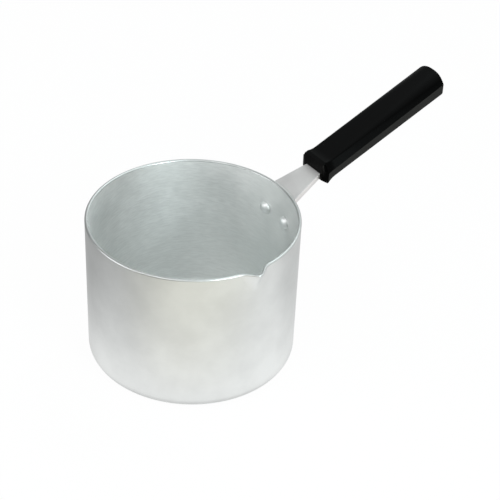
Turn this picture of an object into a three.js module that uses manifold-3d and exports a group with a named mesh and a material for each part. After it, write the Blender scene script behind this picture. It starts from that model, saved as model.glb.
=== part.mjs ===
// A drawn aluminium milk pan: a round body with a pressed pouring lip, a bent plate bracket held by
// two rivets, and a moulded grip that a screw holds on the bracket's tang.
// Millimetres, +Z up. The origin is the centre of the base, on the table. The handle points along +X
// and the lip along -Y.
import * as THREE from "three";
import { mergeVertices } from "three/addons/utils/BufferGeometryUtils.js";
import Module from "manifold-3d";

const wasm = await Module();
wasm.setup();

// Pan body
const POT_RADIUS = 70; // outside, at the rim
const POT_DRAFT = 0.7; // how much smaller the radius is at the base
const POT_HEIGHT = 104;
const WALL = 2.3;
const FLOOR = 2.3;
const BASE_CORNER = 8; // outside radius between the wall and the base
const RIM_EDGE = 1; // rounding of the rim's two edges

// Pouring lip, pressed outwards from the rim as a soft fold
const LIP_ANGLE = THREE.MathUtils.degToRad(-90.5); // about square to the handle
const LIP_REACH = 6.7; // from the wall to the point of the lip, at the rim
const LIP_HALF = 5.8; // from the lip's middle to where its flanks would meet the wall unrounded
const LIP_DEPTH = 10; // from the rim down to where its keel would meet the wall unrounded
const LIP_KEEL = 2.6; // softness of the keel
const LIP_SHOULDER = 4.1; // softness where the lip leaves the wall

// Bracket: one plate, bent from the flange on the wall into the arm and its tang
const PLATE = 3.2;
const ARM_TILT = THREE.MathUtils.degToRad(21.45); // above the horizontal
const ARM_DROP = 6.9; // from the rim down to where the arm's top would meet the wall
const ARM_REACH = 28.4; // along the arm, from the wall to the grip
const ARM_ROOT_WIDTH = 25.2;
const BEND_RADIUS = 2; // inside of the bend
const FLANGE_MARGIN = 6.7; // from a rivet's centre to the flange's side
const FLANGE_TOE = 11; // from the rivets' centres to the flange's lower edge
const FLANGE_CORNER = 9;
const TANG_CORNER = 4;

// Rivets: domed head inside the pan, tail spread on the flange
const RIVET_PITCH = 22.3;
const RIVET_BELOW_ARM = 16.3; // from the arm's root down to the rivets' centres
const RIVET_SHANK = 4.8;
const RIVET_HEAD = 8.8;
const RIVET_DOME = 3;
const RIVET_TAIL = 7.6;
const RIVET_TAIL_HEIGHT = 1.5;

// Grip: flat underside, upright sides, sloping shoulders and a flat top that softens into a crown
// towards the end. Heights are measured upright, from the underside.
const GRIP_LENGTH = 107; // along the arm's direction
const GRIP_WIDTH = 26.6;
const GRIP_SIDE_AT_NOSE = 6.2; // height of the sides
const GRIP_SIDE_AT_END = 7.8;
const GRIP_TOP_AT_NOSE = 11.7; // height of the top
const GRIP_TOP_AT_END = 14.1;
const GRIP_FLAT_AT_NOSE = 18.9; // width of the top between its shoulders, unrounded
const GRIP_FLAT_AT_END = 15.8;
const GRIP_SOFT_AT_NOSE = 0.15; // share of the top that the rounding of its edges takes
const GRIP_SOFT_AT_END = 0.9;
const GRIP_EDGE = 1.2; // rounding of the end and lower edges
const GRIP_FLOOR = 1.2; // moulding under the tang
const GRIP_CHEEK = 5.5; // moulding beside the tang
const TANG_COVER = 38; // solid end of the grip past the tang
const COLLAR_RISE = 1; // how far the collar behind the nose stands out below and at the sides
const COLLAR_CREST = 1.7; // how far it stands up
const COLLAR_LENGTH = 6.5; // from the nose back to where the collar dies out
const NOSE_LENGTH = 2.4; // bevelled part, ending in the flat front face
const NOSE_WIDTH = 21; // the front face, with its heights as for the grip
const NOSE_LOW = 0.8;
const NOSE_SIDE = 2.5;
const NOSE_FLAT = 20;
const NOSE_TOP = 13.4;

// Grip screw, from the underside through the tang
const SCREW_THREAD = 4;
const SCREW_HEAD = 6.6;
const SCREW_HEAD_HEIGHT = 1.2;
const SCREW_DRIVE_WIDTH = 1.1;
const SCREW_DRIVE_DEPTH = 0.6;
const SCREW_SETBACK = 16; // from the tang's end
const SCREW_COVER = 2; // moulding left above the screw's tip

// Clearances
const SEAT_GAP = 0.3; // between two faces that lie on each other
const HOLE_GAP = 0.2; // around a rivet or a screw

// Finishes
const SPUN_ALUMINIUM = { color: 0xcdd0cf, roughness: 0.35, metalness: 1 };
const SHEARED_ALUMINIUM = { color: 0xbcbdbc, roughness: 0.4, metalness: 1 };
const BRIGHT_ALUMINIUM = { color: 0xe2e5e5, roughness: 0.25, metalness: 1 };
const PHENOLIC = { color: 0x141415, roughness: 0.3, metalness: 0 };
const PLATED_STEEL = { color: 0x9a9c9e, roughness: 0.3, metalness: 1 };

// Fineness of the round forms
const BODY_STEPS = 96;
const LIP_CROWDING = 0.8; // 0 spreads the body's steps evenly, towards 1 gathers them at the lip
const LIP_STEPS = 7;
const CORNER_STEPS = 6;
const EDGE_STEPS = 2;
const BEND_STEPS = 8;
const PLATE_STEPS = 10;
const SHOULDER_STEPS = 5;
const COLLAR_STEPS = 5;
const ROUND_STEPS = 24;
const MERGE = 1e-4;

// Places that the pieces share
const wallRadius = (z) => POT_RADIUS - POT_DRAFT * (1 - z / POT_HEIGHT);
const lipSoft = LIP_SHOULDER / LIP_HALF;
const armRootZ = POT_HEIGHT - ARM_DROP;
const armRootX = wallRadius(armRootZ) + SEAT_GAP;
const rivetZ = armRootZ - RIVET_BELOW_ARM;
const rivetAngle = Math.asin(RIVET_PITCH / 2 / wallRadius(rivetZ));
const flangeHalf = RIVET_PITCH / 2 + FLANGE_MARGIN;
const tangHalf = GRIP_WIDTH / 2 - GRIP_CHEEK - SEAT_GAP;
const tangEnd = ARM_REACH + GRIP_LENGTH - TANG_COVER;
const screwAlong = tangEnd - SCREW_SETBACK;

const range = (count) => Array.from({ length: count }, (_, i) => i);
const mix = THREE.MathUtils.lerp;
const ease = THREE.MathUtils.smoothstep;

// A closed surface over rings of points. Each ring runs anticlockwise about the direction of travel.
function skin(rings) {
  const positions = rings.flat().flatMap((p) => p.toArray());
  const size = rings[0].length;
  const index = [];
  for (const i of range(rings.length - 1)) {
    for (const j of range(size)) {
      const a = i * size + j;
      const b = i * size + ((j + 1) % size);
      index.push(a, b, b + size, a, b + size, a + size);
    }
  }
  const cap = (ring, first, reverse) => {
    const centre = ring.reduce((sum, p) => sum.add(p), new THREE.Vector3()).divideScalar(size);
    const middle = positions.length / 3;
    positions.push(...centre.toArray());
    for (const j of range(size)) {
      const here = first + j;
      const next = first + ((j + 1) % size);
      index.push(middle, ...(reverse ? [next, here] : [here, next]));
    }
  };
  cap(rings[0], 0, true);
  cap(rings.at(-1), (rings.length - 1) * size, false);
  const geometry = new THREE.BufferGeometry();
  geometry.setAttribute("position", new THREE.Float32BufferAttribute(positions, 3));
  geometry.setIndex(index);
  return geometry;
}

// A geometry, moved by a matrix, as a solid that can be cut.
function solidOf(geometry, matrix = new THREE.Matrix4()) {
  const bare = geometry.clone().applyMatrix4(matrix);
  bare.deleteAttribute("normal");
  bare.deleteAttribute("uv");
  const merged = mergeVertices(bare, MERGE);
  const vertProperties = merged.getAttribute("position").array;
  const triVerts = new Uint32Array(merged.index.array);
  return new wasm.Manifold(new wasm.Mesh({ numProp: 3, vertProperties, triVerts }));
}

function geometryOf(solid) {
  const mesh = solid.getMesh();
  const geometry = new THREE.BufferGeometry();
  geometry.setAttribute("position", new THREE.BufferAttribute(mesh.vertProperties, 3));
  geometry.setIndex(new THREE.BufferAttribute(mesh.triVerts, 1));
  geometry.computeVertexNormals();
  return geometry;
}

// Cuts the tools, each a geometry and the frame that it sits in, out of a geometry.
function cut(geometry, tools) {
  const take = (solid, [tool, frame]) => solid.subtract(solidOf(tool, frame.matrixWorld));
  return geometryOf(tools.reduce(take, solidOf(geometry)));
}

function mesh(name, geometry, finish) {
  const made = new THREE.Mesh(geometry, new THREE.MeshStandardMaterial(finish));
  made.name = name;
  return made;
}

// A solid of revolution about X, from pairs of radius and place along X.
function turned(profile) {
  const points = profile.map(([radius, along]) => new THREE.Vector2(radius, along));
  return new THREE.LatheGeometry(points, ROUND_STEPS).rotateZ(-Math.PI / 2);
}

// Pairs of radius and height over a domed cap, from its foot to its top.
function dome(radius, height, foot, up) {
  return range(CORNER_STEPS + 1).map((i) => {
    const turn = (i / CORNER_STEPS) * (Math.PI / 2);
    return [radius * Math.cos(turn), foot + up * height * Math.sin(turn)];
  });
}

// How far the lip pushes the wall out: a pyramid with a soft keel and soft shoulders.
function lipPush(angle, z) {
  const side = Math.atan2(Math.sin(angle - LIP_ANGLE), Math.cos(angle - LIP_ANGLE)) * POT_RADIUS;
  const across = (Math.hypot(side, LIP_KEEL) - LIP_KEEL) / LIP_HALF;
  const rise = 1 - across - (POT_HEIGHT - z) / LIP_DEPTH;
  if (rise < -lipSoft) return 0;
  return LIP_REACH * (rise > lipSoft ? rise : (rise + lipSoft) ** 2 / (4 * lipSoft));
}

// Pairs of radius and height up the outside of the body, over the rim and down the inside.
function bodyProfile() {
  const arc = (radius, x, z, from, to, steps) =>
    range(steps + 1).map((i) => {
      const turn = mix(from, to, i / steps);
      return [x + radius * Math.cos(turn), z + radius * Math.sin(turn)];
    });
  const quarter = Math.PI / 2;
  const baseRadius = wallRadius(BASE_CORNER);
  const innerCorner = BASE_CORNER - WALL;
  const innerRadius = wallRadius(FLOOR + innerCorner) - WALL;
  const lipTop = POT_HEIGHT - RIM_EDGE;
  const lipFoot = POT_HEIGHT - LIP_DEPTH * (1 + lipSoft);
  const levels = range(LIP_STEPS).map((i) => mix(lipFoot, lipTop, i / LIP_STEPS));
  return [
    ...arc(BASE_CORNER, baseRadius - BASE_CORNER, BASE_CORNER, -quarter, 0, CORNER_STEPS),
    ...levels.map((z) => [wallRadius(z), z]),
    ...arc(RIM_EDGE, POT_RADIUS - RIM_EDGE, lipTop, 0, quarter, EDGE_STEPS),
    ...arc(RIM_EDGE, POT_RADIUS - WALL + RIM_EDGE, lipTop, quarter, 2 * quarter, EDGE_STEPS),
    ...levels.toReversed().map((z) => [wallRadius(z) - WALL, z]),
    ...arc(innerCorner, innerRadius - innerCorner, FLOOR + innerCorner, 0, -quarter, CORNER_STEPS),
  ];
}

function bodyGeometry() {
  const angles = range(BODY_STEPS).map((step) => {
    const turn = (2 * Math.PI * step) / BODY_STEPS;
    return LIP_ANGLE + turn - LIP_CROWDING * Math.sin(turn);
  });
  const ringAt = ([radius, z]) =>
    angles.map((angle) => {
      const reach = radius + lipPush(angle, z);
      return new THREE.Vector3(reach * Math.cos(angle), reach * Math.sin(angle), z);
    });
  return skin(bodyProfile().map(ringAt));
}

// The plate's centre line in the XZ plane, from the flange's toe up the wall, round the bend and out
// along the arm. Each station has the place and heading of the face that lies on the wall and becomes
// the arm's top, the plate's half width there, and how much of the wall's curve it still follows.
function plateStations() {
  const outer = BEND_RADIUS + PLATE;
  const bendAngle = Math.PI / 2 - ARM_TILT;
  const tangent = outer * Math.tan(bendAngle / 2);
  const toeZ = rivetZ - FLANGE_TOE;
  const bendZ = armRootZ - tangent;
  const rootHalf = ARM_ROOT_WIDTH / 2;
  const stations = [];
  const rounded = (corner, depth) => corner - Math.sqrt(corner ** 2 - (corner - depth) ** 2);

  for (const i of range(CORNER_STEPS + 1)) {
    const depth = FLANGE_CORNER * (1 - Math.cos((i / CORNER_STEPS) * (Math.PI / 2)));
    const z = toeZ + depth;
    const half = flangeHalf - rounded(FLANGE_CORNER, depth);
    stations.push({ x: wallRadius(z) + SEAT_GAP, z, heading: Math.PI / 2, half, hug: 1 });
  }
  const cornerZ = toeZ + FLANGE_CORNER;
  for (const i of range(CORNER_STEPS)) {
    const share = (i + 1) / CORNER_STEPS;
    const z = mix(cornerZ, bendZ, share);
    const half = mix(flangeHalf, rootHalf, ease(share, 0, 1));
    stations.push({ x: wallRadius(z) + SEAT_GAP, z, heading: Math.PI / 2, half, hug: 1 });
  }
  const bendX = stations.at(-1).x;
  for (const i of range(BEND_STEPS)) {
    const share = (i + 1) / BEND_STEPS;
    const turn = share * bendAngle;
    const x = bendX + outer * (1 - Math.cos(turn));
    const z = bendZ + outer * Math.sin(turn);
    stations.push({ x, z, heading: Math.PI / 2 - turn, half: rootHalf, hug: 1 - ease(share, 0, 1) });
  }
  const along = (distance, half) => {
    const x = armRootX + distance * Math.cos(ARM_TILT);
    const z = armRootZ + distance * Math.sin(ARM_TILT);
    stations.push({ x, z, heading: ARM_TILT, half, hug: 0 });
  };
  along(ARM_REACH, tangHalf);
  for (const i of range(CORNER_STEPS + 1)) {
    const depth = TANG_CORNER * (1 - Math.sin((i / CORNER_STEPS) * (Math.PI / 2)));
    along(tangEnd - depth, tangHalf - rounded(TANG_CORNER, depth));
  }
  return stations;
}

function bracketGeometry() {
  const ringAt = ({ x, z, heading, half, hug }) => {
    const point = (share, depth) => {
      const y = half * share;
      const sag = hug * (x - Math.sqrt(x ** 2 - y ** 2));
      const away = x + depth * Math.sin(heading) - sag;
      return new THREE.Vector3(away, y, z - depth * Math.cos(heading));
    };
    const shares = range(PLATE_STEPS + 1).map((i) => (2 * i) / PLATE_STEPS - 1);
    const far = shares.map((share) => point(share, PLATE));
    const near = shares.toReversed().map((share) => point(share, 0));
    return [...far, ...near];
  };
  return skin(plateStations().map(ringAt));
}

// Pairs of steps over the grip's rounded edge: how far back from the end, and how far in from the side.
const gripRounding = range(EDGE_STEPS + 1).map((i) => {
  const turn = (i / EDGE_STEPS) * (Math.PI / 2);
  return [GRIP_EDGE * (1 - Math.sin(turn)), GRIP_EDGE * (1 - Math.cos(turn))];
});

// The grip's section in an upright plane: its half width, the heights of its lower face and of its
// sides, the half width and the height of its top, and the share of the top that is rounded.
function gripSection(half, low, side, flat, top, soft) {
  const foot = new THREE.Vector2(half, side);
  const ridge = new THREE.Vector2(flat, top);
  const start = ridge.clone().lerp(foot, 0.8 * soft);
  const end = ridge.clone().lerp(new THREE.Vector2(0, top), soft);
  const shoulder = new THREE.QuadraticBezierCurve(start, ridge, end).getPoints(SHOULDER_STEPS);
  const right = [
    ...gripRounding.map(([back, up]) => [half - back, low + up]),
    ...[foot, ...shoulder].map((point) => point.toArray()),
  ];
  return [...right, ...right.toReversed().map(([y, z]) => [-y, z])];
}

function gripGeometry() {
  const frontX = armRootX + ARM_REACH * Math.cos(ARM_TILT);
  const noseX = frontX + NOSE_LENGTH;
  const endX = frontX + GRIP_LENGTH * Math.cos(ARM_TILT);
  const below = (PLATE + SEAT_GAP + GRIP_FLOOR) / Math.cos(ARM_TILT);
  const place = (x, section) => {
    const underside = armRootZ + (x - armRootX) * Math.tan(ARM_TILT) - below;
    return section.map(([y, z]) => new THREE.Vector3(x, y, underside + z));
  };
  const ringAt = (x, inset) => {
    const share = (x - noseX) / (endX - noseX);
    const collar = Math.max(0, 1 - (x - noseX) / COLLAR_LENGTH) ** 2;
    const out = COLLAR_RISE * collar - inset;
    const crest = COLLAR_CREST * collar - inset;
    const section = gripSection(
      GRIP_WIDTH / 2 + out,
      -out,
      mix(GRIP_SIDE_AT_NOSE, GRIP_SIDE_AT_END, share) + crest / 2,
      (mix(GRIP_FLAT_AT_NOSE, GRIP_FLAT_AT_END, share) - inset) / 2,
      mix(GRIP_TOP_AT_NOSE, GRIP_TOP_AT_END, share) + crest,
      mix(GRIP_SOFT_AT_NOSE, GRIP_SOFT_AT_END, share),
    );
    return place(x, section);
  };
  const front = gripSection(NOSE_WIDTH / 2, NOSE_LOW, NOSE_SIDE, NOSE_FLAT / 2, NOSE_TOP, GRIP_SOFT_AT_NOSE);
  const collar = range(COLLAR_STEPS + 1).map((i) => ringAt(noseX + COLLAR_LENGTH * (i / COLLAR_STEPS), 0));
  const ending = gripRounding.map(([back, inset]) => ringAt(endX - back, inset));
  return skin([place(frontX, front), ...collar, ...ending]);
}

// Frames: one on the wall for each rivet, and one on the tang's top at the screw, whose X points down.
const pan = new THREE.Group();
const rivetSeat = (side) => {
  const seat = new THREE.Group();
  seat.position.z = rivetZ;
  seat.rotation.z = side * rivetAngle;
  pan.add(seat);
  return seat;
};
const seats = [rivetSeat(1), rivetSeat(-1)];
const arm = new THREE.Group();
arm.position.set(armRootX, 0, armRootZ);
arm.rotation.y = -ARM_TILT;
const screwSeat = new THREE.Group();
screwSeat.position.x = screwAlong;
screwSeat.rotation.y = Math.PI / 2;
arm.add(screwSeat);
pan.add(arm);
pan.updateMatrixWorld(true);

function drilling(diameter, from, to) {
  const radius = diameter / 2;
  return turned([[0, from], [radius, from], [radius, to], [0, to]]);
}

// The rivet, along X from its dome inside the pan to its tail on the flange.
const innerFace = wallRadius(rivetZ) - WALL - HOLE_GAP;
const outerFace = wallRadius(rivetZ) + SEAT_GAP + PLATE + HOLE_GAP;
const rivetProfile = [
  ...dome(RIVET_HEAD / 2, RIVET_DOME, innerFace, -1).toReversed(),
  [RIVET_SHANK / 2, innerFace],
  [RIVET_SHANK / 2, outerFace],
  ...dome(RIVET_TAIL / 2, RIVET_TAIL_HEIGHT, outerFace, 1),
];
const rivetEnds = [innerFace - RIVET_DOME, outerFace + RIVET_TAIL_HEIGHT];
const rivetHole = drilling(RIVET_SHANK + 2 * HOLE_GAP, ...rivetEnds);
const rivetHoles = seats.map((seat) => [rivetHole, seat]);

// The screw, along its seat's X: the tip is above the tang, the head below it.
const screwShare = (screwAlong - ARM_REACH) / GRIP_LENGTH;
const topAtScrew = mix(GRIP_TOP_AT_NOSE, GRIP_TOP_AT_END, screwShare) * Math.cos(ARM_TILT);
const screwTip = SCREW_COVER - (topAtScrew - GRIP_FLOOR - SEAT_GAP - PLATE);
const headFace = PLATE + HOLE_GAP;
const headTop = headFace + SCREW_HEAD_HEIGHT;
const screwProfile = [
  [0, screwTip],
  [SCREW_THREAD / 2, screwTip],
  [SCREW_THREAD / 2, headFace],
  [SCREW_HEAD / 2, headFace],
  [SCREW_HEAD / 2, headTop],
  [0, headTop],
];
const drive = new THREE.BoxGeometry(2 * SCREW_DRIVE_DEPTH, 2 * SCREW_HEAD, SCREW_DRIVE_WIDTH);
drive.translate(headTop, 0, 0);
const threadHole = drilling(SCREW_THREAD + 2 * HOLE_GAP, screwTip - HOLE_GAP, headTop);
const headWell = drilling(SCREW_HEAD + 2 * SEAT_GAP, PLATE, headTop + GRIP_FLOOR + GRIP_EDGE);
const screwCut = cut(turned(screwProfile), [[drive, new THREE.Group()]]);

// The tang's slot in the grip, in the arm's frame, from ahead of the grip to just past the tang.
const slotStart = ARM_REACH - PLATE;
const slotEnd = tangEnd + SEAT_GAP;
const slot = new THREE.BoxGeometry(slotEnd - slotStart, 2 * (tangHalf + SEAT_GAP), PLATE + 2 * SEAT_GAP);
slot.translate((slotStart + slotEnd) / 2, 0, -PLATE / 2);

const body = cut(bodyGeometry(), rivetHoles);
const bracket = cut(bracketGeometry(), [...rivetHoles, [threadHole, screwSeat]]);
const grip = cut(gripGeometry(), [[slot, arm], [threadHole, screwSeat], [headWell, screwSeat]]);

pan.add(mesh("pot_body", body, SPUN_ALUMINIUM));
pan.add(mesh("handle_bracket", bracket, SHEARED_ALUMINIUM));
pan.add(mesh("grip", grip, PHENOLIC));
seats[0].add(mesh("rivet_left", turned(rivetProfile), BRIGHT_ALUMINIUM));
seats[1].add(mesh("rivet_right", turned(rivetProfile), BRIGHT_ALUMINIUM));
screwSeat.add(mesh("grip_screw", screwCut, PLATED_STEEL));

export default pan;
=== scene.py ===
# A drawn aluminium milk pan with a pressed pouring lip, a bent plate bracket on two rivets and a moulded
# black grip. Metres, +Z up. The origin is the centre of the base, the handle runs along +X, the lip to -Y.
import math

import bpy
import numpy as np
from mathutils import Matrix, Vector


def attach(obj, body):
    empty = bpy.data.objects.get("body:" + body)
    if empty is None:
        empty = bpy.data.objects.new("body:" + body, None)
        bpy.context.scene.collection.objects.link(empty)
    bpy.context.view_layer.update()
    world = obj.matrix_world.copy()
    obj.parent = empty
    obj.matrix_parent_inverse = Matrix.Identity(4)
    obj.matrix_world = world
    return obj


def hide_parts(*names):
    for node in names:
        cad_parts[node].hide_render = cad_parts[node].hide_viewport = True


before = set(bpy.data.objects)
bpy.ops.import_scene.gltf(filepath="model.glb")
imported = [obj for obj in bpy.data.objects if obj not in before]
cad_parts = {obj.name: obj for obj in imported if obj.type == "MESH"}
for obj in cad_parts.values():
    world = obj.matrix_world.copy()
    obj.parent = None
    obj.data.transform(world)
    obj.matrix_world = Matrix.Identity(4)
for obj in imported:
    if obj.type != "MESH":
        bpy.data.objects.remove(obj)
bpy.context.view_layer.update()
MM = 0.001
QUARTER = math.pi / 2

# Sizes, in millimetres, as in the solids. Only PLATE_EDGE and NOSE_ROUND are finer than the solids

# Pan body
POT_RADIUS = 70
POT_DRAFT = 0.7
POT_HEIGHT = 104
WALL = 2.3
FLOOR = 2.3
BASE_CORNER = 8
RIM_EDGE = 1

# Pouring lip
LIP_ANGLE = math.radians(-90.5)
LIP_REACH = 6.7
LIP_HALF = 5.8
LIP_DEPTH = 10
LIP_KEEL = 2.6
LIP_SHOULDER = 4.1

# Bracket
PLATE = 3.2
PLATE_EDGE = 0.45
ARM_TILT = math.radians(21.45)
ARM_DROP = 6.9
ARM_REACH = 28.4
ARM_ROOT_WIDTH = 25.2
BEND_RADIUS = 2
FLANGE_MARGIN = 6.7
FLANGE_TOE = 11
FLANGE_CORNER = 9
TANG_CORNER = 4

# Rivets
RIVET_PITCH = 22.3
RIVET_BELOW_ARM = 16.3
RIVET_SHANK = 4.8
RIVET_HEAD = 8.8
RIVET_DOME = 3
RIVET_TAIL = 7.6
RIVET_TAIL_HEIGHT = 1.5

# Grip: pairs are for its nose and its end
GRIP_LENGTH = 107
GRIP_WIDTH = 26.6
GRIP_SIDES = (6.2, 7.8)
GRIP_FLATS = (18.9, 15.8)
GRIP_TOPS = (11.7, 14.1)
GRIP_SOFTNESS = (0.15, 0.9)
GRIP_EDGE = 1.2
GRIP_FLOOR = 1.2
GRIP_CHEEK = 5.5
TANG_COVER = 38
COLLAR_RISE = 1
COLLAR_CREST = 1.7
COLLAR_LENGTH = 6.5
NOSE_LENGTH = 2.4
NOSE_WIDTH = 21
NOSE_LOW = 0.8
NOSE_SIDE = 2.5
NOSE_FLAT = 20
NOSE_TOP = 13.4
NOSE_ROUND = 1.15

# Grip screw
SCREW_THREAD = 4
SCREW_HEAD = 6.6
SCREW_HEAD_HEIGHT = 1.2
SCREW_DRIVE_WIDTH = 1.1
SCREW_DRIVE_DEPTH = 0.6
SCREW_SETBACK = 16
SCREW_COVER = 2

# Clearances
SEAT_GAP = 0.3
HOLE_GAP = 0.2


# Places that the pieces share

def wall_radius(z):
    return POT_RADIUS - POT_DRAFT * (1 - z / POT_HEIGHT)


lip_soft = LIP_SHOULDER / LIP_HALF
arm_root_z = POT_HEIGHT - ARM_DROP
arm_root_x = wall_radius(arm_root_z) + SEAT_GAP
rivet_z = arm_root_z - RIVET_BELOW_ARM
rivet_angle = math.asin(RIVET_PITCH / 2 / wall_radius(rivet_z))
flange_half = RIVET_PITCH / 2 + FLANGE_MARGIN
tang_half = GRIP_WIDTH / 2 - GRIP_CHEEK - SEAT_GAP
tang_end = ARM_REACH + GRIP_LENGTH - TANG_COVER
arm = Matrix.Translation((arm_root_x, 0, arm_root_z)) @ Matrix.Rotation(-ARM_TILT, 4, "Y")
screw_along = tang_end - SCREW_SETBACK
screw_seat = arm @ Matrix.Translation((screw_along, 0, 0)) @ Matrix.Rotation(QUARTER, 4, "Y")


def rivet_seat(side):
    return Matrix.Translation((0, 0, rivet_z)) @ Matrix.Rotation(side * rivet_angle, 4, "Z")


# Making and cutting meshes

# Edges sharper than these, in degrees, are shaded sharp. On the plate they are eased first
CUT_CREASE = 30
PLATE_CREASE = 50
RIVET_CREASE = 40


def solid(name, rings, place=Matrix()):
    """A closed mesh over rings of points in millimetres, at a place. A ring of one point closes an end."""
    points = [place @ Vector(p) * MM for ring in rings for p in ring]
    starts = np.cumsum([0] + [len(ring) for ring in rings]).tolist()
    faces = []
    for i in range(len(rings) - 1):
        here, there = rings[i], rings[i + 1]
        a, b = starts[i], starts[i + 1]
        size = max(len(here), len(there))
        for j in range(size):
            k = (j + 1) % size
            if len(here) == 1:
                faces.append((a, b + k, b + j))
            elif len(there) == 1:
                faces.append((a + j, a + k, b))
            else:
                faces.append((a + j, a + k, b + k, b + j))
    if len(rings[0]) > 1:
        faces.append(tuple(range(len(rings[0])))[::-1])
    if len(rings[-1]) > 1:
        faces.append(tuple(range(starts[-2], starts[-1])))
    mesh = bpy.data.meshes.new(name)
    mesh.from_pydata(points, [], faces)
    made = bpy.data.objects.new(name, mesh)
    bpy.context.scene.collection.objects.link(made)
    return made


def settle(made, crease):
    """Applies the modifiers, then shades smooth up to the crease angle."""
    evaluated = made.evaluated_get(bpy.context.evaluated_depsgraph_get())
    mesh = bpy.data.meshes.new_from_object(evaluated)
    made.modifiers.clear()
    made.data = mesh
    mesh.shade_smooth()
    mesh.set_sharp_from_angle(angle=math.radians(crease))


def carve(made, tools):
    for tool in tools:
        cut = made.modifiers.new("cut", "BOOLEAN")
        cut.operation = "DIFFERENCE"
        cut.solver = "EXACT"
        cut.object = tool
    settle(made, CUT_CREASE)
    for tool in tools:
        bpy.data.objects.remove(tool)


def ease_edges(made, width, steps, crease):
    bevel = made.modifiers.new("eased", "BEVEL")
    bevel.width = width * MM
    bevel.segments = steps
    bevel.limit_method = "ANGLE"
    bevel.angle_limit = math.radians(crease)
    settle(made, crease)


def show(made, node, slot, *finishes):
    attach(made, "root")
    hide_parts(node)
    for finish in finishes:
        made.data.materials.append(finish)


def arc(radius, x, z, start, end, steps):
    turns = [start + (end - start) * i / steps for i in range(steps + 1)]
    return [(x + radius * math.cos(turn), z + radius * math.sin(turn)) for turn in turns]


def turned(name, profile, place, steps=64):
    """A solid of revolution about its own X, from pairs of radius and place along X, ends on the axis."""
    rings = []
    for radius, along in profile:
        if radius == 0:
            rings.append([(along, 0, 0)])
            continue
        turns = [2 * math.pi * j / steps for j in range(steps)]
        rings.append([(along, radius * math.cos(turn), radius * math.sin(turn)) for turn in turns])
    return solid(name, rings, place)


def drilling(diameter, start, end, place):
    radius = diameter / 2
    return turned("drilling", [(0, start), (radius, start), (radius, end), (0, end)], place)


def block(size, centre, place):
    x, y, z = (side / 2 for side in size)
    outline = [(-y, -z), (y, -z), (y, z), (-y, z)]
    ends = [[(centre[0] + along, centre[1] + b, centre[2] + c) for b, c in outline] for along in (-x, x)]
    return solid("block", ends, place)


# Pan body

def lip_push(angle, z):
    """How far the lip pushes the wall out: a pyramid with a soft keel and soft shoulders."""
    side = math.remainder(angle - LIP_ANGLE, 2 * math.pi) * POT_RADIUS
    across = (math.hypot(side, LIP_KEEL) - LIP_KEEL) / LIP_HALF
    rise = 1 - across - (POT_HEIGHT - z) / LIP_DEPTH
    if rise < -lip_soft:
        return 0
    return LIP_REACH * (rise if rise > lip_soft else (rise + lip_soft) ** 2 / (4 * lip_soft))


def pan_body():
    corner_steps = 14
    rim_steps = 6
    wall_steps = 6
    lip_steps = 30
    flat_steps = 12
    around_steps = 300
    # 0 spreads the steps round the pan evenly, towards 1 gathers them at the lip
    crowding = 0.8
    base_radius = wall_radius(BASE_CORNER)
    inner_corner = BASE_CORNER - WALL
    inner_radius = wall_radius(FLOOR + inner_corner) - WALL
    lip_foot = POT_HEIGHT - LIP_DEPTH * (1 + lip_soft)
    lip_top = POT_HEIGHT - RIM_EDGE
    levels = np.concatenate([
        np.linspace(BASE_CORNER, lip_foot, wall_steps, endpoint=False)[1:],
        np.linspace(lip_foot, lip_top, lip_steps, endpoint=False),
    ])
    underside = [(base_radius - BASE_CORNER) * i / flat_steps for i in range(flat_steps)]
    inside = [(inner_radius - inner_corner) * i / flat_steps for i in range(flat_steps)]
    profile = [(radius, 0) for radius in underside]
    profile += arc(BASE_CORNER, base_radius - BASE_CORNER, BASE_CORNER, -QUARTER, 0, corner_steps)
    profile += [(wall_radius(z), z) for z in levels]
    profile += arc(RIM_EDGE, POT_RADIUS - RIM_EDGE, lip_top, 0, QUARTER, rim_steps)
    profile += arc(RIM_EDGE, POT_RADIUS - WALL + RIM_EDGE, lip_top, QUARTER, math.pi, rim_steps)
    profile += [(wall_radius(z) - WALL, z) for z in levels[::-1] if z > FLOOR + inner_corner]
    profile += arc(inner_corner, inner_radius - inner_corner, FLOOR + inner_corner, 0, -QUARTER, corner_steps)
    profile += [(radius, FLOOR) for radius in inside[::-1]]
    turns = [2 * math.pi * j / around_steps for j in range(around_steps)]
    angles = [LIP_ANGLE + turn - crowding * math.sin(turn) for turn in turns]
    rings = []
    for radius, z in profile:
        if radius == 0:
            rings.append([(0, 0, z)])
            continue
        reach = [radius + lip_push(angle, z) for angle in angles]
        rings.append([(r * math.cos(angle), r * math.sin(angle), z) for r, angle in zip(reach, angles)])
    return solid("pan_body", rings)


# Bracket

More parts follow.
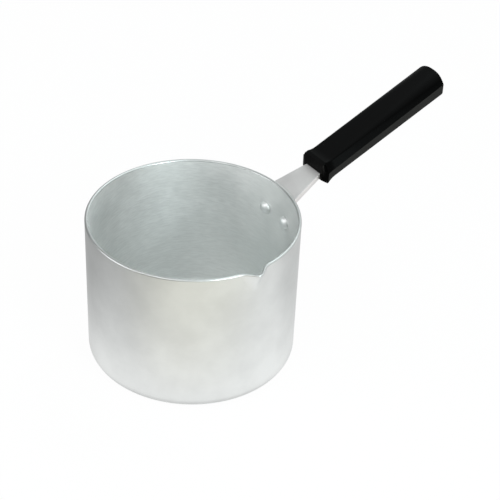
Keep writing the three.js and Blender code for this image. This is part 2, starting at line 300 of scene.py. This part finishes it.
def bracket():
    corner_steps = 10
    bend_steps = 12
    across_steps = 16
    outer = BEND_RADIUS + PLATE
    bend_angle = QUARTER - ARM_TILT
    toe_z = rivet_z - FLANGE_TOE
    bend_z = arm_root_z - outer * math.tan(bend_angle / 2)
    root_half = ARM_ROOT_WIDTH / 2

    def drawn_in(radius, depth):
        return radius - math.sqrt(radius ** 2 - (radius - depth) ** 2)

    def smooth(share):
        return share * share * (3 - 2 * share)

    # Each station: x, z, heading, half width, and how much of the wall's curve it still follows
    stations = []
    for i in range(corner_steps + 1):
        depth = FLANGE_CORNER * (1 - math.cos(i / corner_steps * QUARTER))
        half = flange_half - drawn_in(FLANGE_CORNER, depth)
        stations.append((wall_radius(toe_z + depth) + SEAT_GAP, toe_z + depth, QUARTER, half, 1))
    for i in range(1, corner_steps + 1):
        z = toe_z + FLANGE_CORNER + (bend_z - toe_z - FLANGE_CORNER) * i / corner_steps
        half = flange_half + (root_half - flange_half) * smooth(i / corner_steps)
        stations.append((wall_radius(z) + SEAT_GAP, z, QUARTER, half, 1))
    bend_x = stations[-1][0]
    for i in range(1, bend_steps + 1):
        turn = bend_angle * i / bend_steps
        x = bend_x + outer * (1 - math.cos(turn))
        z = bend_z + outer * math.sin(turn)
        stations.append((x, z, QUARTER - turn, root_half, 1 - smooth(i / bend_steps)))
    reaches = [(ARM_REACH, tang_half)]
    for i in range(corner_steps + 1):
        depth = TANG_CORNER * (1 - math.sin(i / corner_steps * QUARTER))
        reaches.append((tang_end - depth, tang_half - drawn_in(TANG_CORNER, depth)))
    for along, half in reaches:
        x = arm_root_x + along * math.cos(ARM_TILT)
        z = arm_root_z + along * math.sin(ARM_TILT)
        stations.append((x, z, ARM_TILT, half, 0))

    shares = [2 * i / across_steps - 1 for i in range(across_steps + 1)]
    rings = []
    for x, z, heading, half, hug in stations:
        ring = []
        for share, depth in [(s, PLATE) for s in shares] + [(s, 0) for s in shares[::-1]]:
            y = half * share
            sag = hug * (x - math.sqrt(x ** 2 - y ** 2))
            ring.append((x + depth * math.sin(heading) - sag, y, z - depth * math.cos(heading)))
        rings.append(ring)
    return solid("handle_plate", rings)


# Grip

def blend(start, end, share):
    return tuple(a + (b - a) * share for a, b in zip(start, end))


def grip_section(half, low, side, flat, top, soft):
    """The grip's outline in an upright plane: its half width, the heights of its lower face and of its sides,
    the half width and the height of its top, and the share of the top that is rounded."""
    edge_steps = 5
    round_steps = 14
    # The rounding reaches less far down the shoulder than over the top
    shoulder_soft = 0.8 * soft
    foot, ridge, middle = (half, side), (flat, top), (0, top)
    start = blend(ridge, foot, shoulder_soft)
    end = blend(ridge, middle, soft)
    outline = arc(GRIP_EDGE, half - GRIP_EDGE, low + GRIP_EDGE, -QUARTER, 0, edge_steps) + [foot]
    for i in range(round_steps + 1):
        share = i / round_steps
        outline.append(blend(blend(start, ridge, share), blend(ridge, end, share), share))
    return outline + [(-y, z) for y, z in outline[::-1]]


def grip():
    nose_steps = 5
    collar_steps = 16
    edge_steps = 6
    front_x = arm_root_x + ARM_REACH * math.cos(ARM_TILT)
    nose_x = front_x + NOSE_LENGTH
    end_x = front_x + GRIP_LENGTH * math.cos(ARM_TILT)
    below = (PLATE + SEAT_GAP + GRIP_FLOOR) / math.cos(ARM_TILT)
    front = (NOSE_WIDTH / 2, NOSE_LOW, NOSE_SIDE, NOSE_FLAT / 2, NOSE_TOP, GRIP_SOFTNESS[0])

    def ring_at(x, inset):
        underside = arm_root_z + (x - arm_root_x) * math.tan(ARM_TILT) - below
        share = max(0, x - nose_x) / (end_x - nose_x)
        side, flat, top, soft = blend(*zip(GRIP_SIDES, GRIP_FLATS, GRIP_TOPS, GRIP_SOFTNESS), share)
        collar = min(1, max(0, 1 - (x - nose_x) / COLLAR_LENGTH)) ** 2
        out = COLLAR_RISE * collar - inset
        crest = COLLAR_CREST * collar - inset
        shape = (GRIP_WIDTH / 2 + out, -out, side + crest / 2, (flat - inset) / 2, top + crest, soft)
        nose = max(0, 1 - (x - front_x) / NOSE_LENGTH) ** NOSE_ROUND
        return [(x, y, underside + z) for y, z in grip_section(*blend(shape, front, nose))]

    rings = [ring_at(front_x + NOSE_LENGTH * i / nose_steps, 0) for i in range(nose_steps)]
    rings += [ring_at(nose_x + COLLAR_LENGTH * i / collar_steps, 0) for i in range(collar_steps + 1)]
    for i in range(edge_steps + 1):
        turn = i / edge_steps * QUARTER
        rings.append(ring_at(end_x - GRIP_EDGE * (1 - math.sin(turn)), GRIP_EDGE * (1 - math.cos(turn))))
    return solid("grip_moulding", rings)


# Materials

# Settings that several nodes share
COLOURS = {"data_type": "RGBA"}
DOT_PRODUCT = {"operation": "DOT_PRODUCT"}
MULTIPLY_ADD = {"operation": "MULTIPLY_ADD"}

# Nearly all of a noise's values lie in the first span, and most of them in the second
NOISE_SPAN = {"From Min": 0.3, "From Max": 0.7}
NOISE_MIDDLE = {"From Min": 0.35, "From Max": 0.65}

# Where the inside of the pan changes, as pairs of where that begins and where it is complete, in millimetres.
# It is lighter from one height to another, a painted light for the brighter band below the rim, and its
# scratches are darker from one place along Y to another
PAINTED_LIGHT_HEIGHTS = (50, 100)
SCRATCH_DARK_PLACES = (-20, 50)
SCRATCH_DARK_AMOUNTS = (0.05, 0.2)
# Lime dulls it in a band below the rim, between the handle and the side across from the lip
LIME_HEIGHTS = (85, 98)
LIME_REACHES = (55, 65)
LIME_WAY = (0.73, 0.68, 0)
LIME_DULLNESS = 0.014


def linear(code):
    """An sRGB hex colour as linear red, green, blue and alpha."""
    parts = [int(code[i:i + 2], 16) / 255 for i in (1, 3, 5)]
    return [c / 12.92 if c <= 0.04045 else ((c + 0.055) / 1.055) ** 2.4 for c in parts] + [1]


def per_metre(size):
    """A noise's scale: how many marks of a size in millimetres lie in a metre."""
    return 1 / (size * MM)


def node(tree, kind, settings=None, values=None, links=None):
    """Adds a node with its settings, its sockets' values and the outputs that feed its sockets, and gives its
    own outputs."""
    made = tree.nodes.new(kind)
    for name, setting in (settings or {}).items():
        setattr(made, name, setting)
    for socket, value in (values or {}).items():
        made.inputs[socket].default_value = value
    for socket, source in (links or {}).items():
        tree.links.new(source, made.inputs[socket])
    return made.outputs


def material(name):
    made = bpy.data.materials.new(name)
    made.use_nodes = True
    made.node_tree.nodes.clear()
    return made, made.node_tree


def spun_aluminium(name, tints, roughness, streak, marks, slant, depth, rise):
    """Drawn aluminium sheet, rubbed down on a lathe: a satin with fine marks round the pan, and cloudy
    patches where it was wiped. The marks have a length and a width in millimetres, a slant and a depth. The
    rise paints the wall lighter towards the rim, a painted light, and makes it dull with lime in a band."""
    made, tree = material(name)
    place = node(tree, "ShaderNodeTexCoord")["Object"]
    parts = node(tree, "ShaderNodeSeparateXYZ", links={0: place})

    # Marks follow each other up the wall and in across the base
    level = node(tree, "ShaderNodeVectorMath", {"operation": "MULTIPLY"}, {1: (1, 1, 0)}, {0: place})[0]
    radius = node(tree, "ShaderNodeVectorMath", {"operation": "LENGTH"}, links={0: level})["Value"]
    along = node(tree, "ShaderNodeMath", {"operation": "ADD"}, links={0: parts["Z"], 1: radius})[0]
    lean = node(tree, "ShaderNodeVectorMath", DOT_PRODUCT, {1: slant}, {0: place})["Value"]
    leaning = node(tree, "ShaderNodeMath", {"operation": "ADD"}, links={0: along, 1: lean})[0]
    mark_ways = {"X": parts["X"], "Y": parts["Y"], "Z": leaning}
    mark_place = node(tree, "ShaderNodeCombineXYZ", links=mark_ways)[0]
    long_way, short_way = (per_metre(size) for size in marks)
    drawn_out = {"Scale": (long_way, long_way, short_way)}
    stretched = node(tree, "ShaderNodeMapping", values=drawn_out, links={"Vector": mark_place})[0]
    uneven = {"Scale": 1, "Detail": 3, "Roughness": 0.6}
    rings = node(tree, "ShaderNodeTexNoise", values=uneven, links={"Vector": stretched})["Fac"]

    # Wiped patches of about 25 mm
    cloudy = {"Scale": per_metre(25), "Detail": 4, "Roughness": 0.55}
    patches = node(tree, "ShaderNodeTexNoise", values=cloudy, links={"Vector": place})["Fac"]

    # Patches and marks are a little smoother or rougher, and the lime is rougher than both
    both = node(tree, "ShaderNodeMath", {"operation": "ADD"}, links={0: rings, 1: patches})[0]
    spread = {
        "From Min": 2 * NOISE_SPAN["From Min"],
        "From Max": 2 * NOISE_SPAN["From Max"],
        "To Min": roughness[0],
        "To Max": roughness[1],
    }
    satin = node(tree, "ShaderNodeMapRange", values=spread, links={"Value": both})[0]
    reach = node(tree, "ShaderNodeVectorMath", DOT_PRODUCT, {1: LIME_WAY}, {0: place})["Value"]
    sideways = {
        "From Min": LIME_REACHES[0] * MM,
        "From Max": LIME_REACHES[1] * MM,
        "To Max": LIME_DULLNESS * rise,
    }
    lime = node(tree, "ShaderNodeMapRange", values=sideways, links={"Value": reach})[0]
    upwards = {"From Min": LIME_HEIGHTS[0] * MM, "From Max": LIME_HEIGHTS[1] * MM}
    chalky = node(tree, "ShaderNodeMapRange", values=upwards, links={"Value": parts["Z"], "To Max": lime})[0]
    rough = node(tree, "ShaderNodeMath", {"operation": "ADD"}, links={0: satin, 1: chalky})[0]

    # Patches go from one tint to the other, sooner up the wall, so the upper wall is painted lighter, a
    # painted light. Marks darken them, most across from the lip
    lifted = node(tree, "ShaderNodeMath", MULTIPLY_ADD, {1: rise}, {0: parts["Z"], 2: patches})[0]
    painted_lighter_up = {
        "From Min": NOISE_MIDDLE["From Min"] + rise * PAINTED_LIGHT_HEIGHTS[0] * MM,
        "From Max": NOISE_MIDDLE["From Max"] + rise * PAINTED_LIGHT_HEIGHTS[1] * MM,
    }
    patches_and_painted_light = node(tree, "ShaderNodeMapRange", values=painted_lighter_up, links={"Value": lifted})[0]
    greys = {"A": linear(tints[0]), "B": linear(tints[1])}
    patchy_tint_painted_lighter_up = node(tree, "ShaderNodeMix", COLOURS, greys, {"Factor": patches_and_painted_light})["Result"]
    darker_along_y = {
        "From Min": SCRATCH_DARK_PLACES[0] * MM,
        "From Max": SCRATCH_DARK_PLACES[1] * MM,
        "To Min": 1 - depth * SCRATCH_DARK_AMOUNTS[0],
        "To Max": 1 - depth * SCRATCH_DARK_AMOUNTS[1],
    }
    scratch_darkness = node(tree, "ShaderNodeMapRange", values=darker_along_y, links={"Value": parts["Y"]})[0]
    scratch = node(tree, "ShaderNodeMapRange", values=NOISE_MIDDLE, links={"Value": rings, "To Min": scratch_darkness})[0]
    darkened = {**COLOURS, "blend_type": "MULTIPLY"}
    tint = node(tree, "ShaderNodeMix", darkened, {"Factor": 1}, {"A": patchy_tint_painted_lighter_up, "B": scratch})["Result"]

    cut = {"Strength": depth, "Distance": 0.2 * MM}
    bump = node(tree, "ShaderNodeBump", values=cut, links={"Height": rings})[0]
    round_it = node(tree, "ShaderNodeTangent", {"direction_type": "RADIAL", "axis": "Z"})[0]
    brushed = {"Metallic": 1, "Anisotropic": streak, "Anisotropic Rotation": 0.25}
    looks = {"Base Color": tint, "Roughness": rough, "Normal": bump, "Tangent": round_it}
    shader = node(tree, "ShaderNodeBsdfPrincipled", values=brushed, links=looks)[0]
    node(tree, "ShaderNodeOutputMaterial", links={"Surface": shader})
    return made


def tumbled_aluminium():
    """Aluminium plate, sheared, bent and tumbled: an even grey satin with a fine peened grain."""
    made, tree = material("tumbled_aluminium_plate")
    place = node(tree, "ShaderNodeTexCoord")["Object"]
    # Tumbling dimples are about 0.3 mm: drawn at 0.8 mm, or they would not show
    dimpled = {"Scale": per_metre(0.8), "Detail": 2}
    grain = node(tree, "ShaderNodeTexNoise", values=dimpled, links={"Vector": place})["Fac"]
    # Patches of about 11 mm, where the plate was handled
    handled = {"Scale": per_metre(11.1), "Detail": 4}
    patches = node(tree, "ShaderNodeTexNoise", values=handled, links={"Vector": place})["Fac"]
    greys = {"A": linear("#F2EFEE"), "B": linear("#F9F6F5")}
    tint = node(tree, "ShaderNodeMix", COLOURS, greys, {"Factor": patches})["Result"]
    satin = {**NOISE_SPAN, "To Min": 0.4, "To Max": 0.5}
    rough = node(tree, "ShaderNodeMapRange", values=satin, links={"Value": patches})[0]
    peened = {"Strength": 0.15, "Distance": 0.1 * MM}
    bump = node(tree, "ShaderNodeBump", values=peened, links={"Height": grain})[0]
    looks = {"Base Color": tint, "Roughness": rough, "Normal": bump}
    shader = node(tree, "ShaderNodeBsdfPrincipled", values={"Metallic": 1}, links=looks)[0]
    node(tree, "ShaderNodeOutputMaterial", links={"Surface": shader})
    return made


def headed_aluminium():
    """Soft aluminium wire, headed in a polished die: the brightest metal on the pan, a little dimpled."""
    made, tree = material("headed_aluminium_rivet")
    place = node(tree, "ShaderNodeTexCoord")["Object"]
    # Dimples of about 2 mm
    dimpled = {"Scale": per_metre(2), "Detail": 2}
    marks = node(tree, "ShaderNodeTexNoise", values=dimpled, links={"Vector": place})["Fac"]
    greys = {"A": linear("#F2F4F4"), "B": linear("#FAFBFB")}
    tint = node(tree, "ShaderNodeMix", COLOURS, greys, {"Factor": marks})["Result"]
    satin = {**NOISE_SPAN, "To Min": 0.42, "To Max": 0.54}
    rough = node(tree, "ShaderNodeMapRange", values=satin, links={"Value": marks})[0]
    hammered = {"Strength": 0.1, "Distance": 0.2 * MM}
    bump = node(tree, "ShaderNodeBump", values=hammered, links={"Height": marks})[0]
    looks = {"Base Color": tint, "Roughness": rough, "Normal": bump}
    shader = node(tree, "ShaderNodeBsdfPrincipled", values={"Metallic": 1}, links=looks)[0]
    node(tree, "ShaderNodeOutputMaterial", links={"Surface": shader})
    return made


def moulded_phenolic():
    """Black phenolic resin from a polished mould: a deep black with a soft gloss and a faint flow along the
    grip. Its long sides were rubbed to take off the flash, so they are matt, and they are painted greyer
    where they face straight out, a painted reflection of the white floor. Its top is painted a little greyer,
    a painted sheen."""
    made, tree = material("moulded_black_phenolic")
    place = node(tree, "ShaderNodeTexCoord")["Object"]
    # Flow marks of about 40 by 6 mm along the grip
    long_way, short_way = per_metre(40), per_metre(6.25)
    drawn_out = {"Rotation": (0, ARM_TILT, 0), "Scale": (long_way, short_way, short_way)}
    flow_place = node(tree, "ShaderNodeMapping", values=drawn_out, links={"Vector": place})[0]
    flowing = {"Scale": 1, "Detail": 4}
    flow = node(tree, "ShaderNodeTexNoise", values=flowing, links={"Vector": flow_place})["Fac"]
    # Filler specks are about 0.1 mm: drawn at about 0.7 mm, or they would not show
    speckled = {"Scale": per_metre(0.714), "Detail": 1}
    specks = node(tree, "ShaderNodeTexNoise", values=speckled, links={"Vector": place})["Fac"]

    # The sides are matt, and painted greyer as a painted reflection, where they face straight out. The top is
    # painted a little greyer, a painted sheen, where it faces up
    facing = node(tree, "ShaderNodeNewGeometry")["True Normal"]
    ways = node(tree, "ShaderNodeSeparateXYZ", links={0: facing})
    either_side = node(tree, "ShaderNodeMath", {"operation": "ABSOLUTE"}, links={0: ways["Y"]})[0]
    straight_out = {"From Min": 0.9, "From Max": 0.97}
    side_reflection_and_matt = node(tree, "ShaderNodeMapRange", values=straight_out, links={"Value": either_side})[0]
    upwards = {"From Min": 0.7, "From Max": 0.9}
    painted_top_sheen_mask = node(tree, "ShaderNodeMapRange", values=upwards, links={"Value": ways["Z"]})[0]

    blacks = {"A": linear("#010101"), "B": linear("#040404")}
    black = node(tree, "ShaderNodeMix", COLOURS, blacks, {"Factor": flow})["Result"]
    # Painted sheen: the top is a little greyer where it faces up
    painted_top_sheen = {"B": linear("#0E0E0E")}
    black_with_painted_sheen = node(tree, "ShaderNodeMix", COLOURS, painted_top_sheen, {"A": black, "Factor": painted_top_sheen_mask})["Result"]
    # Painted reflection: the sides are greyer where they face straight out
    painted_side_reflection = {"B": linear("#292827")}
    tint = node(tree, "ShaderNodeMix", COLOURS, painted_side_reflection, {"A": black_with_painted_sheen, "Factor": side_reflection_and_matt})["Result"]
    soft_gloss = {**NOISE_SPAN, "To Min": 0.26, "To Max": 0.4}
    gloss = node(tree, "ShaderNodeMapRange", values=soft_gloss, links={"Value": flow})[0]
    side_matt = 0.25
    rough = node(tree, "ShaderNodeMath", MULTIPLY_ADD, {1: side_matt}, {0: side_reflection_and_matt, 2: gloss})[0]
    grainy = {"Strength": 0.08, "Distance": 0.1 * MM}
    bump = node(tree, "ShaderNodeBump", values=grainy, links={"Height": specks})[0]
    resin = {"IOR": 1.5, "Specular IOR Level": 0.025}
    looks = {"Base Color": tint, "Roughness": rough, "Normal": bump}
    shader = node(tree, "ShaderNodeBsdfPrincipled", values=resin, links=looks)[0]
    node(tree, "ShaderNodeOutputMaterial", links={"Surface": shader})
    return made


def plated_steel():
    """Steel screw, turned and zinc plated: a cool grey with a thin, slightly warmer film in patches."""
    made, tree = material("zinc_plated_steel")
    place = node(tree, "ShaderNodeTexCoord")["Object"]
    # The film's patches are about 1.4 mm
    filmed = {"Scale": per_metre(1.43), "Detail": 3}
    film = node(tree, "ShaderNodeTexNoise", values=filmed, links={"Vector": place})["Fac"]
    greys = {"A": linear("#B4B8BB"), "B": linear("#C6C7C4")}
    tint = node(tree, "ShaderNodeMix", COLOURS, greys, {"Factor": film})["Result"]
    bright = {**NOISE_SPAN, "To Min": 0.24, "To Max": 0.38}
    rough = node(tree, "ShaderNodeMapRange", values=bright, links={"Value": film})[0]
    looks = {"Base Color": tint, "Roughness": rough}
    shader = node(tree, "ShaderNodeBsdfPrincipled", values={"Metallic": 1}, links=looks)[0]
    node(tree, "ShaderNodeOutputMaterial", links={"Surface": shader})
    return made


# The pieces

inner_face = wall_radius(rivet_z) - WALL - HOLE_GAP
outer_face = wall_radius(rivet_z) + SEAT_GAP + PLATE + HOLE_GAP
screw_share = (screw_along - ARM_REACH) / GRIP_LENGTH
top_at_screw = (GRIP_TOPS[0] + (GRIP_TOPS[1] - GRIP_TOPS[0]) * screw_share) * math.cos(ARM_TILT)
screw_tip = SCREW_COVER - (top_at_screw - GRIP_FLOOR - SEAT_GAP - PLATE)
head_face = PLATE + HOLE_GAP
head_top = head_face + SCREW_HEAD_HEIGHT

# The pan's finishes, in the order in which the body has them
OUTSIDE = 0
INSIDE = 1
RIM = 2


def rivet_holes():
    reach = (inner_face - RIVET_DOME, outer_face + RIVET_TAIL_HEIGHT)
    return [drilling(RIVET_SHANK + 2 * HOLE_GAP, *reach, rivet_seat(side)) for side in (1, -1)]


def thread_hole():
    return drilling(SCREW_THREAD + 2 * HOLE_GAP, screw_tip - HOLE_GAP, head_top, screw_seat)


def dome(radius, face, rise):
    """A dome's outline from its middle to its edge, as pairs of radius and place along the rivet."""
    points = 13
    turns = np.linspace(0, QUARTER, points)
    return [(radius * math.sin(turn), face + rise * math.cos(turn)) for turn in turns]


def pan_finish(point):
    """Which finish the pan has at a point of its surface."""
    x, y, z = point / MM
    if z > POT_HEIGHT - RIM_EDGE:
        return RIM
    middle = wall_radius(z) + lip_push(math.atan2(y, x), z) - WALL / 2
    return INSIDE if z > FLOOR / 2 and math.hypot(x, y) < middle else OUTSIDE


body = pan_body()
carve(body, rivet_holes())
# Outside and on the rim the lathe left long rings. Inside are short scratches, which lean because it was
# scoured by hand. Both are really about 0.3 mm wide, and drawn wider, or they would not show
RINGS = {"marks": (111, 1.54), "slant": (0, 0, 0), "depth": 0.015, "rise": 0}
# The inside's rise paints it lighter towards the rim, a painted light, and dulls a band with lime
SCRATCHES = {"marks": (6.25, 1), "slant": (-0.12, -0.16, 0), "depth": 0.45, "rise": 8}
outside_finish = spun_aluminium(
    "polished_spun_aluminium", ("#E2E4E3", "#EBEDEC"), roughness=(0.31, 0.39), streak=0.3, **RINGS)
inside_finish = spun_aluminium(
    "satin_spun_aluminium", ("#EBEDEC", "#FAFBFA"), roughness=(0.46, 0.6), streak=0.5, **SCRATCHES)
# The rim is painted greyer than the wall, a painted shade that dims the lamps' highlights on it
dimmed_rim_finish = spun_aluminium(
    "rim_aluminium_painted_darker", ("#CBCDCC", "#D6D8D7"), roughness=(0.28, 0.36), streak=0, **RINGS)
show(body, "pot_body", "pan_aluminium", outside_finish, inside_finish, dimmed_rim_finish)
for face in body.data.polygons:
    face.material_index = pan_finish(face.center)

plate = bracket()
ease_edges(plate, PLATE_EDGE, steps=3, crease=PLATE_CREASE)
carve(plate, rivet_holes() + [thread_hole()])
show(plate, "handle_bracket", "bracket_aluminium", tumbled_aluminium())

moulding = grip()
slot_start = ARM_REACH - PLATE
slot_end = tang_end + SEAT_GAP
slot_size = (slot_end - slot_start, 2 * (tang_half + SEAT_GAP), PLATE + 2 * SEAT_GAP)
tang_slot = block(slot_size, ((slot_start + slot_end) / 2, 0, -PLATE / 2), arm)
head_well = drilling(SCREW_HEAD + 2 * SEAT_GAP, PLATE, head_top + GRIP_FLOOR + GRIP_EDGE, screw_seat)
carve(moulding, [tang_slot, thread_hole(), head_well])
show(moulding, "grip", "grip_phenolic", moulded_phenolic())

rivet_metal = headed_aluminium()
rivet_head = dome(RIVET_HEAD / 2, inner_face, -RIVET_DOME)
rivet_shank = [(RIVET_SHANK / 2, inner_face), (RIVET_SHANK / 2, outer_face)]
rivet_tail = dome(RIVET_TAIL / 2, outer_face, RIVET_TAIL_HEIGHT)[::-1]
for side, name in ((1, "rivet_left"), (-1, "rivet_right")):
    rivet = turned(name + "_headed", rivet_head + rivet_shank + rivet_tail, rivet_seat(side))
    settle(rivet, RIVET_CREASE)
    show(rivet, name, "rivet_aluminium", rivet_metal)

screw = turned("grip_screw_slotted", [
    (0, screw_tip),
    (SCREW_THREAD / 2, screw_tip),
    (SCREW_THREAD / 2, head_face),
    (SCREW_HEAD / 2, head_face),
    (SCREW_HEAD / 2, head_top),
    (0, head_top),
], screw_seat)
drive = block((2 * SCREW_DRIVE_DEPTH, 2 * SCREW_HEAD, SCREW_DRIVE_WIDTH), (head_top, 0, 0), screw_seat)
carve(screw, [drive])
show(screw, "grip_screw", "screw_steel", plated_steel())


# Floor, light and camera

FLOOR_REACH = 3000
# Ways over the floor, for someone who stands where the photograph was taken
TO_THE_RIGHT = (0.8, -0.6, 0)
TO_THE_BACK = (0.6, 0.8, 0)
TO_THE_FRONT = (-0.6, -0.8, 0)
# The way in which the room is lightest
LIGHTEST_WAY = (0.74, -0.55, 0.39)


def paper_floor():
    """White background paper: white to the eye. In the metal its glow is painted light: whitest close to the
    pan, with a painted warm reflection in front, painted darker to the left and behind, and a painted shadow
    under the pan. A small share of it is plain paper, which takes a soft shadow."""
    made, tree = material("white_paper_floor")
    place = node(tree, "ShaderNodeTexCoord")["Object"]
    ray = node(tree, "ShaderNodeLightPath")
    eye = ray["Is Camera Ray"]
    in_metal = {0: ray["Is Glossy Ray"], 1: ray["Is Transmission Ray"]}
    mirrored = node(tree, "ShaderNodeMath", {"operation": "MAXIMUM"}, links=in_metal)[0]
    seen = node(tree, "ShaderNodeMath", {"operation": "MAXIMUM"}, links={0: eye, 1: mirrored})[0]
    lit_share = 0.96
    share = node(tree, "ShaderNodeMath", {"operation": "MULTIPLY"}, {1: lit_share}, {0: seen})[0]

    # Its painted glow at a reach from the pan's axis, in metres: a painted pool of light near the pan, and a
    # painted shadow under its base edge
    away = node(tree, "ShaderNodeVectorMath", {"operation": "LENGTH"}, links={0: place})["Value"]
    outwards = {"From Min": 0.08, "From Max": 0.18, "To Min": 1, "To Max": 0.8}
    painted_pool_near = node(tree, "ShaderNodeMapRange", values=outwards, links={"Value": away})[0]
    painted_base_shadow = {"From Min": 0.062, "From Max": 0.077, "To Min": 0.55}
    painted_shadow_under = node(tree, "ShaderNodeMapRange", values=painted_base_shadow, links={"Value": away})[0]
    shaded = node(tree, "ShaderNodeMath", {"operation": "MINIMUM"}, links={0: painted_pool_near, 1: painted_shadow_under})[0]

    # Its painted glow at each side, in metres: painted darker to the left and behind
    across = node(tree, "ShaderNodeVectorMath", DOT_PRODUCT, {1: TO_THE_RIGHT}, {0: place})["Value"]
    left_fall = {"From Min": -0.2, "From Max": -0.05, "To Min": 0.5}
    lit = node(tree, "ShaderNodeMapRange", values=left_fall, links={"Value": across})[0]
    behind = node(tree, "ShaderNodeVectorMath", DOT_PRODUCT, {1: TO_THE_BACK}, {0: place})["Value"]
    back_fall = {"From Min": -0.03, "From Max": 0.04, "To Min": 1, "To Max": 0.75}
    back = node(tree, "ShaderNodeMapRange", values=back_fall, links={"Value": behind})[0]
    sides = node(tree, "ShaderNodeMath", {"operation": "MULTIPLY"}, links={0: lit, 1: back})[0]
    fall = node(tree, "ShaderNodeMath", {"operation": "MULTIPLY"}, links={0: shaded, 1: sides})[0]
    strength = node(tree, "ShaderNodeMath", {"operation": "MAXIMUM"}, links={0: eye, 1: fall})[0]

    # A painted warm reflection in front, seen in the metal but not by the eye
    painted_warmth_limit = node(tree, "ShaderNodeMath", {"operation": "SUBTRACT"}, {0: 1}, {1: eye})[0]
    ahead = node(tree, "ShaderNodeVectorMath", DOT_PRODUCT, {1: TO_THE_FRONT}, {0: place})["Value"]
    front_rise = {"From Min": 0.08, "From Max": 0.2}
    painted_warm_reflection = node(tree, "ShaderNodeMapRange", values=front_rise, links={"Value": ahead, "To Max": painted_warmth_limit})[0]
    whites = {"A": linear("#FFFFFF"), "B": linear("#FFFDF0")}
    tint = node(tree, "ShaderNodeMix", COLOURS, whites, {"Factor": painted_warm_reflection})["Result"]

    paper = node(tree, "ShaderNodeBsdfDiffuse", values={"Color": linear("#F2F2F2")})[0]
    white = node(tree, "ShaderNodeEmission", links={"Color": tint, "Strength": strength})[0]
    mixed = node(tree, "ShaderNodeMixShader", links={0: share, 1: paper, 2: white})[0]
    node(tree, "ShaderNodeOutputMaterial", links={"Surface": mixed})
    return made


floor = solid("floor", [
    [(x, y, z) for x, y in ((-1, -1), (1, -1), (1, 1), (-1, 1))]
    for z in (-1, 0)
], Matrix.Diagonal((FLOOR_REACH, FLOOR_REACH, 1, 1)))
floor.data.materials.append(paper_floor())

scene = bpy.context.scene
scene.view_settings.view_transform = "Standard"
world = bpy.data.worlds.new("studio")
scene.world = world
world.use_nodes = True
world.node_tree.nodes.clear()
# A plain room, lightest to the right and low down, where the paper sweeps up
sky = world.node_tree
way = node(sky, "ShaderNodeTexCoord")["Generated"]
near_light = node(sky, "ShaderNodeVectorMath", DOT_PRODUCT, {1: LIGHTEST_WAY}, {0: way})["Value"]
rightwards = {"From Min": -0.4, "From Max": 0.6, "To Min": 0.34}
level = node(sky, "ShaderNodeMapRange", values=rightwards, links={"Value": near_light})[0]
height = node(sky, "ShaderNodeSeparateXYZ", links={0: way})["Z"]
low_down = {"From Min": 0.1, "From Max": 0.25, "To Min": 0.5, "To Max": 0}
sweep = node(sky, "ShaderNodeMapRange", values=low_down, links={"Value": height})[0]
swept = {0: level, 1: sweep, 2: level}
strength = node(sky, "ShaderNodeMath", MULTIPLY_ADD, links=swept)[0]
room = node(sky, "ShaderNodeBackground", values={"Color": linear("#E3E7E7")}, links={"Strength": strength})[0]
node(sky, "ShaderNodeOutputWorld", links={"Surface": room})


def soft_lamp(name, tint, place, aim, width, power):
    """A round lamp with its place, its aim and its width in metres, and its power in watts."""
    data = bpy.data.lights.new(name, "AREA")
    data.shape = "DISK"
    data.size = width
    data.energy = power
    data.color = linear(tint)[:3]
    made = bpy.data.objects.new(name, data)
    made.location = place
    made.rotation_euler = (Vector(aim) - Vector(place)).to_track_quat("-Z", "Y").to_euler()
    scene.collection.objects.link(made)


soft_lamp("top", "#FFFFFF", (-0.7, -0.2, 1.05), aim=(0, 0, 0.05), width=0.8, power=2.7)
soft_lamp("left", "#FFFFFF", (-1, 0.4, 0.4), aim=(0, 0, 0.1), width=0.9, power=4.2)
soft_lamp("back", "#F0FFFF", (0.56, 0.36, 0.96), aim=(0, 0, 0.05), width=0.5, power=1.6)
soft_lamp("window", "#F0FFFF", (0.03, -1.12, 0.75), aim=(0, 0, 0.08), width=0.6, power=6.8)

# The photograph's view: pitched down at the base, a little rolled
VIEW_TURN = math.radians(-36.8)
VIEW_PITCH = math.radians(35.36)
VIEW_ROLL = math.radians(2.48)
VIEW_DISTANCE = 1.09167
LENS_PIXELS = 1600
IMAGE_PIXELS = 500
SENSOR = 36
BASE_PIXEL = (191.14, 342.41)
turn = Matrix.Rotation(VIEW_TURN, 3, "Z")
forward = Vector((0, math.cos(VIEW_PITCH), -math.sin(VIEW_PITCH)))
level_up = Vector((1, 0, 0)).cross(forward)
right = Vector((math.cos(VIEW_ROLL), 0, 0)) + math.sin(VIEW_ROLL) * level_up
up = right.cross(forward)
across = (BASE_PIXEL[0] - IMAGE_PIXELS / 2) / LENS_PIXELS * VIEW_DISTANCE
above = (IMAGE_PIXELS / 2 - BASE_PIXEL[1]) / LENS_PIXELS * VIEW_DISTANCE
stand = -(across * right + above * up + VIEW_DISTANCE * forward)
axes = Matrix((turn @ right, turn @ up, turn @ -forward)).transposed()
lens = bpy.data.cameras.new("photo_view")
lens.sensor_width = SENSOR
lens.lens = LENS_PIXELS / IMAGE_PIXELS * SENSOR
camera = bpy.data.objects.new("photo_view", lens)
camera.matrix_world = Matrix.Translation(turn @ stand) @ axes.to_4x4()
scene.collection.objects.link(camera)
scene.camera = camera
